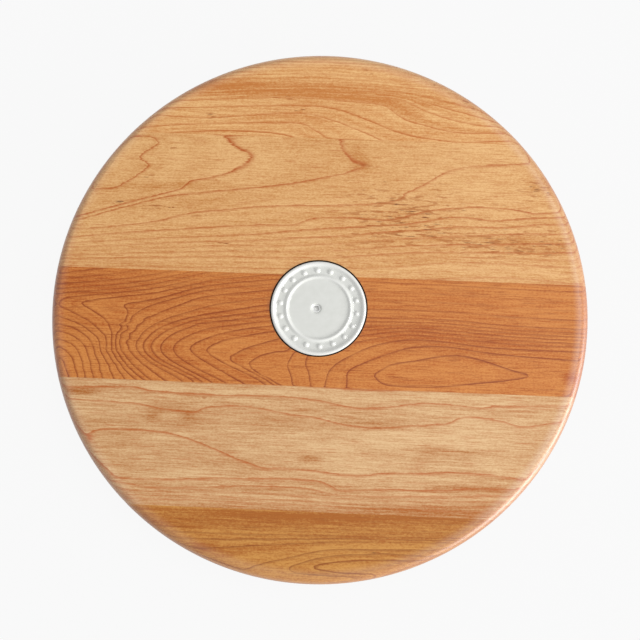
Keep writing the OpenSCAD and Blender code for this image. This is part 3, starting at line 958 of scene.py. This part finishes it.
def arc(centre: Point, radius: float, start: float, end: float, count: int = 7) -> List[Point]:
    """Points on an arc of a profile.

    Args:
        centre: its centre.
        radius: its radius.
        start: its first angle in degrees.
        end: its last angle.
        count: how many steps it has.

    Returns:
        The points.
    """
    angles = [math.radians(start + (end - start) * k / count) for k in range(count + 1)]
    return [(centre[0] + radius * math.cos(a), centre[1] + radius * math.sin(a)) for a in angles]


def level(start: Point, end: Point, count: int) -> List[Point]:
    """Points on a straight stretch of a profile, without its two ends."""
    shares = [k / (count + 1) for k in range(1, count + 1)]
    return [(start[0] + (end[0] - start[0]) * t, start[1] + (end[1] - start[1]) * t) for t in shares]


class Lathe:
    """A Geometry Nodes tree that turns a profile, raises beads on it and sets copies on a circle."""

    LENGTHS = {
        "Bead Circle": 0.0, "Bead Radius": 0.001, "Bead Height": 0.0, "Bead Floor": 1.0, "Copy Circle": 0.0,
        "Middle Shift": 0.0, "Shift Start": 1.0, "Shift End": 2.0,
    }
    ANGLES = {"First Bead": 0.0, "First Copy": 0.0}
    COUNTS = {"Segments": 64, "Beads": 1, "Copies": 1}
    BEAD_SWELL = 0.65

    def __init__(self) -> None:
        """Builds the tree."""
        self.tree = bpy.data.node_groups.new("turned_part", "GeometryNodeTree")
        self.tree.is_modifier = True
        face = self.tree.interface
        face.new_socket("Geometry", in_out="INPUT", socket_type="NodeSocketGeometry")
        face.new_socket("Geometry", in_out="OUTPUT", socket_type="NodeSocketGeometry")
        decimal, whole = "NodeSocketFloat", "NodeSocketInt"
        for names, kind in ((self.LENGTHS, decimal), (self.ANGLES, decimal), (self.COUNTS, whole)):
            for name, usual in names.items():
                face.new_socket(name, in_out="INPUT", socket_type=kind).default_value = usual
        face.new_socket("Material", in_out="INPUT", socket_type="NodeSocketMaterial")
        self.graph = Graph(self.tree)
        self.given = self.graph.node("NodeGroupInput").outputs
        self.build()

    def value(self, name: str) -> Value:
        """One of the tree's named numbers."""
        return Value(self.graph, self.given[name])

    def build(self) -> None:
        """Adds the nodes: a grid that wraps round the axis, then its beads, then its copies."""
        g = self.graph
        profile = self.given["Geometry"]
        count = g.node("GeometryNodeAttributeDomainSize", {"component": "MESH"}, {0: profile}).outputs[0]
        columns = self.value("Segments") + 1
        cells = {"Size X": 1.0, "Size Y": 1.0, "Vertices X": columns, "Vertices Y": count}
        grid = g.node("GeometryNodeMeshGrid", values=cells).outputs["Mesh"]
        place = g.node("GeometryNodeInputPosition").outputs[0]
        across, up, _ = g.parts(place)
        row = ((up + 0.5) * (Value(g, count) - 1)).of("ROUND")
        wanted = {"Geometry": profile, "Value": place, "Index": row}
        sampled = g.node("GeometryNodeSampleIndex", {"data_type": "FLOAT_VECTOR"}, wanted).outputs[0]
        radius, _, height = g.parts(sampled)
        turn = (across + 0.5) * -math.tau
        share = g.spread(radius, self.given["Shift Start"], self.given["Shift End"], 1.0, 0.0, "SMOOTHSTEP")
        x = radius * turn.of("COSINE") + share * self.value("Middle Shift")
        y = radius * turn.of("SINE")
        wrapped = g.joined(x, y, height + self.bead_rise(x, y, height))
        body = g.node("GeometryNodeSetPosition", values={"Geometry": grid, "Position": wrapped}).outputs[0]
        body = g.node("GeometryNodeMergeByDistance", values={"Geometry": body, "Distance": 1e-6}).outputs[0]
        body = g.node("GeometryNodeSetShadeSmooth", values={"Geometry": body}).outputs[0]
        body = self.copied(body)
        body = g.node("GeometryNodeRealizeInstances", values={"Geometry": body}).outputs[0]
        finish = self.given["Material"]
        body = g.node("GeometryNodeSetMaterial", values={"Geometry": body, "Material": finish}).outputs[0]
        g.node("NodeGroupOutput", values={0: body})

    def bead_rise(self, x: Value, y: Value, height: Value) -> Value:
        """How far the nearest bead lifts the surface.

        Args:
            x: the point's X.
            y: its Y.
            height: its height before the bead.

        Returns:
            The lift.
        """
        pitch = self.graph.math("DIVIDE", math.tau, self.value("Beads"))
        angle = y.of("ARCTAN2", x) - self.value("First Bead")
        middle = (angle / pitch).of("ROUND") * pitch + self.value("First Bead")
        circle, reach = self.value("Bead Circle"), self.value("Bead Radius")
        off_x = x - middle.of("COSINE") * circle
        off_y = y - middle.of("SINE") * circle
        share = (off_x * off_x + off_y * off_y) / (reach * reach)
        dome = (1.0 - share).held() ** self.BEAD_SWELL
        above = height.of("GREATER_THAN", self.value("Bead Floor"))
        return dome * self.value("Bead Height") * above

    def copied(self, body: Socket) -> Socket:
        """Sets copies of the part on a circle.

        Args:
            body: the part.

        Returns:
            The copies as instances.
        """
        g = self.graph
        row = {"Count": self.given["Copies"], "Offset": (0.0, 0.0, 0.0)}
        line = g.node("GeometryNodeMeshLine", values=row).outputs[0]
        order = Value(g, g.node("GeometryNodeInputIndex").outputs[0])
        angle = order * math.tau / self.value("Copies") + self.value("First Copy")
        circle = self.value("Copy Circle")
        spot = g.joined(angle.of("COSINE") * circle, angle.of("SINE") * circle, 0.0)
        points = g.node("GeometryNodeSetPosition", values={"Geometry": line, "Position": spot}).outputs[0]
        return g.node("GeometryNodeInstanceOnPoints", values={"Points": points, "Instance": body}).outputs[0]

    def turn(
        self, name: str, profile: Sequence[Point], material: bpy.types.Material, **inputs: float
    ) -> bpy.types.Object:
        """Turns one piece.

        Args:
            name: the piece's name.
            profile: its outline as (radius, height), outwards over the top, then down and back.
            material: its finish.
            inputs: the tree's inputs by name with _ for a space; lengths are in millimetres.

        Returns:
            The piece as a plain mesh.
        """
        outline = bpy.data.meshes.new(name + "_outline")
        steps = [(k, k + 1) for k in range(len(profile) - 1)]
        outline.from_pydata([(r * MM, 0, z * MM) for r, z in profile], steps, [])
        pattern = made_object(name + "_pattern", outline)
        modifier = pattern.modifiers.new("turned", "NODES")
        modifier.node_group = self.tree
        given = {key.replace("_", " "): value for key, value in inputs.items()}
        for item in self.tree.interface.items_tree:
            if item.in_out == "INPUT" and item.name in given:
                scale = MM if item.name in self.LENGTHS else 1
                modifier[item.identifier] = given[item.name] * scale
            if item.in_out == "INPUT" and item.name == "Material":
                modifier[item.identifier] = material
        graph = bpy.context.evaluated_depsgraph_get()
        mesh = bpy.data.meshes.new_from_object(pattern.evaluated_get(graph))
        bpy.data.objects.remove(pattern)
        mesh.name = name
        return made_object(name, mesh)


# ---------- sub-assemblies ----------


@dataclass
class Board:
    """The wooden top: five glued maple staves with drawn figures."""

    cell_along: float = 3.2
    cell_across: float = 2.4
    least_slope: float = 0.025
    staves: Dict[str, Tuple[Maple, Figure]] = field(default_factory=dict)

    def build(self) -> None:
        for node, (finish, figure) in self.staves.items():
            mesh = sliced_copy(node, self.cell_along * MM, self.cell_across * MM)
            self.store(mesh, figure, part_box(node)[1].z / MM)
            mesh.materials.clear()
            mesh.materials.append(finish.material())
            declare(made_object(node + "_maple", mesh), "turntable", [node])

    def store(self, mesh: bpy.types.Mesh, figure: Figure, top: float) -> None:
        """Stores a figure at a stave's points; below the top the rings go on at a steady slant.

        Args:
            mesh: the stave.
            figure: its figure.
            top: the height of its upper face.
        """
        count = len(mesh.vertices)
        place, normal = np.zeros(count * 3), np.zeros(count * 3)
        mesh.vertices.foreach_get("co", place)
        mesh.vertices.foreach_get("normal", normal)
        x, y, z = (place / MM).reshape(-1, 3).T
        normal = normal.reshape(-1, 3)
        number, along, across = RingField(figure.rings).at(x, y)
        steepest = 1 / figure.depth_spacing
        down = np.sqrt(np.maximum(steepest ** 2 - along ** 2 - across ** 2, 0.02 ** 2))
        slope = np.column_stack([along, across, -down])
        on_face = slope - (slope * normal).sum(1)[:, None] * normal
        stored = {
            "ring": number + (top - z) * down,
            "ring_slope": np.maximum(np.linalg.norm(on_face, axis=1), self.least_slope),
            "tone": sum((patch.at(x, y) for patch in figure.tones), np.zeros(count)),
            "fleck": sum((patch.at(x, y) for patch in figure.flecks), np.zeros(count)),
            "calm": sum((patch.at(x, y) for patch in figure.calms), np.zeros(count)),
            "end_grain": np.abs(normal[:, 0]),
        }
        for name, numbers in stored.items():
            layer = mesh.attributes.new(name, "FLOAT", "POINT")
            layer.data.foreach_set("value", numbers.astype(np.float32))


@dataclass
class CeramicPlate:
    """The glazed plate in the top, with its beads, and the silicone socket in its hole."""

    lathe: Lathe
    face: float = 49.4
    lip_top: float = 51.0
    underside: float = 44.8
    foot: float = 42.2
    radius: float = 40.5
    hole_radius: float = 3.4
    hole_round: float = 1.6
    hole_shift: float = -1.8
    shift_start: float = 6.0
    shift_end: float = 20.0
    flat_radius: float = 24.8
    crest_radius: float = 27.3
    crest_rise: float = 0.9
    channel_inner: float = 30.1
    channel_outer: float = 35.5
    lip_width: float = 2.0
    lip_round: float = 1.4
    heel_round: float = 1.5
    foot_inner: float = 26.0
    foot_outer: float = 32.0
    foot_taper: float = 0.6
    underside_middle: float = 15.0
    beads: int = 18
    bead_circle: float = 32.8
    bead_radius: float = 2.3
    bead_height: float = 1.1
    bead_sink: float = 0.2
    first_bead: float = math.radians(94)
    segments: int = 18 * 28

    def profile(self) -> List[Point]:
        """The plate's closed outline.

        Returns:
            The outline from the hole, over the ridge, the channel and the lip, and back underneath.
        """
        face, under, hole, rim = self.face, self.underside, self.hole_radius, self.radius
        crest = (self.crest_radius, face + self.crest_rise)
        flat, inner, outer = ((r, face) for r in (self.flat_radius, self.channel_inner, self.channel_outer))
        mouth = (hole + self.hole_round, face - self.hole_round)
        lip, heel = self.lip_round, self.heel_round
        points = [(hole, under)]
        points += arc(mouth, self.hole_round, 180, 90)
        points += level((mouth[0], face), flat, 8)
        points += eased(flat, crest, 12) + eased(crest, inner, 9)[1:]
        points += level(inner, outer, 14)
        points += eased(outer, (rim - self.lip_width, self.lip_top), 9)
        points += arc((rim - lip, self.lip_top - lip), lip, 90, 0, 8)
        points += arc((rim - heel, under + heel), heel, 0, -90, 5)
        points += [(self.foot_outer, under), (self.foot_outer - self.foot_taper, self.foot)]
        points += [(self.foot_inner + self.foot_taper, self.foot), (self.foot_inner, under)]
        points += [(self.underside_middle, under)]
        return points + points[:1]

    def build(self) -> None:
        plate = self.lathe.turn(
            "ceramic_plate", self.profile(), Glaze(level=self.face).material(),
            Segments=self.segments, Beads=self.beads, Bead_Circle=self.bead_circle,
            Bead_Radius=self.bead_radius, Bead_Height=self.bead_height, First_Bead=self.first_bead,
            Bead_Floor=self.face - self.bead_sink, Middle_Shift=self.hole_shift,
            Shift_Start=self.shift_start, Shift_End=self.shift_end,
        )
        declare(plate, "turntable", ["insert_plate"])
        silicone = Moulded("white_silicone", tone(252, 252, 251), tone(246, 246, 243), 0.38, relief=0.004)
        dress(["insert_pads", "peg_socket"], silicone.material())


@dataclass
class Bearing:
    """The ring bearing between the base and the top."""

    lathe: Lathe
    ball_radius: float = 2.5
    balls: int = 36
    pitch_radius: float = 85.0

    def build(self) -> None:
        """Turns the balls and finishes the rings, the cage, the plug and the screws."""
        low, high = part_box("bearing_balls")
        middle = (low.z + high.z) / 2 / MM
        bright, stained = tone(208, 209, 211), tone(176, 176, 178)
        steel = SmallMetal("ball_steel_polished", bright, stained, 0.14, relief=0.001)
        balls = self.lathe.turn(
            "bearing_ball_set", arc((0.0, middle), self.ball_radius, 90, -90, 14), steel.material(),
            Segments=26, Copies=self.balls, Copy_Circle=self.pitch_radius,
        )
        declare(balls, "cage", ["bearing_balls"])
        rings = TurnedMetal("turned_aluminium", tone(206, 208, 211), tone(184, 186, 190), 0.34)
        dress(["bearing_inner_ring", "bearing_outer_ring"], rings.material())
        nylon = Moulded("natural_nylon", tone(232, 226, 209), tone(214, 206, 184), 0.45)
        dress(["ball_cage"], nylon.material())
        black = SmallMetal("black_oxide", tone(36, 36, 39), tone(60, 54, 50), 0.42, metallic=0.8)
        dress(["loading_plug"], black.material())
        zinc = SmallMetal("zinc_plate", tone(200, 203, 207), tone(176, 172, 158), 0.3)
        dress(["inner_ring_screws", "outer_ring_screws", "foot_screws", "foot_washers"], zinc.material())


@dataclass
class Base:
    """The footed wooden base; each stave has its pith's Y and height, and the spacing of its rings."""

    piths: Tuple[Tuple[float, float, float], ...] = (
        (60.0, -34.0, 4.2),
        (-8.0, 46.0, 3.6),
        (-74.0, -22.0, 4.8),
    )
    feet: int = 6

    def build(self) -> None:
        """Finishes the base's staves and its feet."""
        for k, (pith_y, pith_z, spacing) in enumerate(self.piths):
            wood = Maple(
                f"base_maple_{k + 1}", tone(222, 176, 128), tone(196, 140, 90), tone(172, 110, 66),
                rings=Rings.PITH, seed=20.0 + 7 * k, pith_y=pith_y, pith_z=pith_z, spacing=spacing,
            )
            dress([f"base_stave_{k + 1}"], wood.material())
        rubber = Moulded("black_rubber", tone(34, 34, 36), tone(52, 51, 50), 0.7, relief=0.03)
        dress([f"foot_{k + 1}" for k in range(self.feet)], rubber.material())


@dataclass
class Studio:
    """The floor, the lights and the camera."""

    distance: float = 885.6
    tilt: float = math.radians(9.29)
    azimuth: float = math.radians(8.98)
    roll: float = 0.0424
    aim: Tuple[float, float] = (1.7, -10.14)
    lens: float = 58.91
    floor_half: float = 6.0

    def build(self) -> None:
        """Makes the whole studio."""
        self.make_floor()
        self.make_lights()
        self.make_camera()

    def make_floor(self) -> None:
        """A plain pale floor that glows a little, so that it stays even."""
        half = self.floor_half
        corners = [(-half, -half, 0), (half, -half, 0), (half, half, 0), (-half, half, 0)]
        mesh = bpy.data.meshes.new("floor")
        mesh.from_pydata(corners, [], [(0, 1, 2, 3)])
        floor = made_object("floor", mesh)
        s = Surface("floor_paper", Roughness=1.0, Specular_IOR_Level=0.0, Emission_Strength=0.92)
        s.shader.inputs["Base Color"].default_value = (0.03, 0.03, 0.03, 1.0)
        s.shader.inputs["Emission Color"].default_value = (1.0, 1.0, 1.0, 1.0)
        s.material.cycles.emission_sampling = "NONE"
        back = s.node("ShaderNodeNewGeometry").outputs["Backfacing"]
        clear = s.node("ShaderNodeBsdfTransparent").outputs[0]
        both = s.node("ShaderNodeMixShader", values={0: back, 1: s.shader.outputs[0], 2: clear})
        output = next(n for n in s.tree.nodes if n.type == "OUTPUT_MATERIAL")
        s.feed(output.inputs["Surface"], both.outputs[0])
        mesh.materials.append(s.material)
        floor.visible_diffuse = False
        floor.location.z = -0.0002

    def make_lights(self) -> None:
        """A soft key and a low wide rim light from the right, a veil from above, and an even fill."""
        world = bpy.data.worlds.new("studio")
        world.use_nodes = True
        background = world.node_tree.nodes["Background"]
        background.inputs["Color"].default_value = (0.97, 0.98, 1.0, 1.0)
        background.inputs["Strength"].default_value = 0.42
        bpy.context.scene.world = world
        self.area("key", (-32, 46), away=3.2, size=(1.1, 1.1), power=6.0)
        self.area("rim", (-26, 14), away=3.0, size=(3.4, 0.9), power=106.0)
        self.area("veil", (20, 70), away=2.4, size=(0.9, 0.9), power=17.0)

    def area(self, name: str, toward: Point, away: float, size: Point, power: float) -> None:
        """Adds a rectangular light that faces the board.

        Args:
            name: its name.
            toward: its direction from +X and its height above the horizon, in degrees.
            away: its distance in metres.
            size: its width and height in metres.
            power: its power in watts.
        """
        light = bpy.data.lights.new(name, "AREA")
        light.energy = power
        light.shape = "RECTANGLE"
        light.size, light.size_y = size
        lamp = bpy.data.objects.new(name, light)
        turn, climb = (math.radians(angle) for angle in toward)
        level_part = math.cos(climb)
        line = Vector((math.cos(turn) * level_part, math.sin(turn) * level_part, math.sin(climb)))
        lamp.location = line * away + Vector((0, 0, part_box("board_stave_3")[1].z))
        lamp.rotation_mode = "QUATERNION"
        lamp.rotation_quaternion = line.to_track_quat("Z", "Y")
        bpy.context.scene.collection.objects.link(lamp)

    def make_camera(self) -> None:
        """Looks down on the board, tilted a little towards its front edge."""
        lean = math.sin(self.tilt)
        back = Vector((lean * math.sin(self.azimuth), -lean * math.cos(self.azimuth), math.cos(self.tilt)))
        level_right = Vector((0, 1, 0)).cross(back).normalized()
        level_up = back.cross(level_right)
        right = level_right * math.cos(self.roll) + level_up * math.sin(self.roll)
        up = back.cross(right)
        aim = Vector((self.aim[0] * MM, self.aim[1] * MM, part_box("board_stave_3")[1].z))
        data = bpy.data.cameras.new("camera")
        data.lens = self.lens
        data.sensor_width = 36.0
        data.clip_start = 0.01
        camera = bpy.data.objects.new("camera", data)
        turned = Matrix((right, up, back)).transposed()
        camera.matrix_world = Matrix.Translation(aim + back * self.distance * MM) @ turned.to_4x4()
        bpy.context.scene.collection.objects.link(camera)
        bpy.context.scene.camera = camera
        bpy.context.scene.view_settings.view_transform = "Standard"


def main() -> None:
    """Builds the studio and every sub-assembly in order."""
    logging.basicConfig(level=logging.INFO, format="%(name)s: %(message)s")
    Studio().build()
    lathe = Lathe()
    Board(
        staves={
            "board_stave_1": (
                Maple("maple_warm", tone(244, 194, 130), tone(206, 130, 62), tone(192, 98, 26), seed=1.0,
                      streaks=0.8, stipple=1.6),
                WARM_FIGURE,
            ),
            "board_stave_2": (
                Maple("maple_light", tone(240, 190, 128), tone(200, 130, 62), tone(184, 86, 18), seed=2.0,
                      wander=2.2, ragged=1.6, stipple=1.6, soft_side=2.6, hard_side=0.7),
                LIGHT_FIGURE,
            ),
            "board_stave_3": (
                Maple("maple_brown", tone(220, 142, 70), tone(182, 90, 26), tone(140, 54, 8), seed=3.0,
                      ragged=0.7, streaks=0.6, fibre=1.5, stipple=2.1),
                BROWN_FIGURE,
            ),
            "board_stave_4": (
                Maple("maple_pale", tone(234, 194, 143), tone(178, 102, 32), tone(188, 92, 22), seed=4.0,
                      wander=2.2, ragged=1.4, stipple=1.0, soft_side=2.8, hard_side=0.7),
                PALE_FIGURE,
            ),
            "board_stave_5": (
                Maple("maple_amber", tone(212, 150, 74), tone(176, 100, 30), tone(140, 68, 12), seed=5.0,
                      streaks=0.9, fibre=1.5, stipple=2.1),
                AMBER_FIGURE,
            ),
        }
    ).build()
    CeramicPlate(lathe).build()
    Bearing(lathe).build()
    Base().build()


if __name__ == "__main__":
    main()
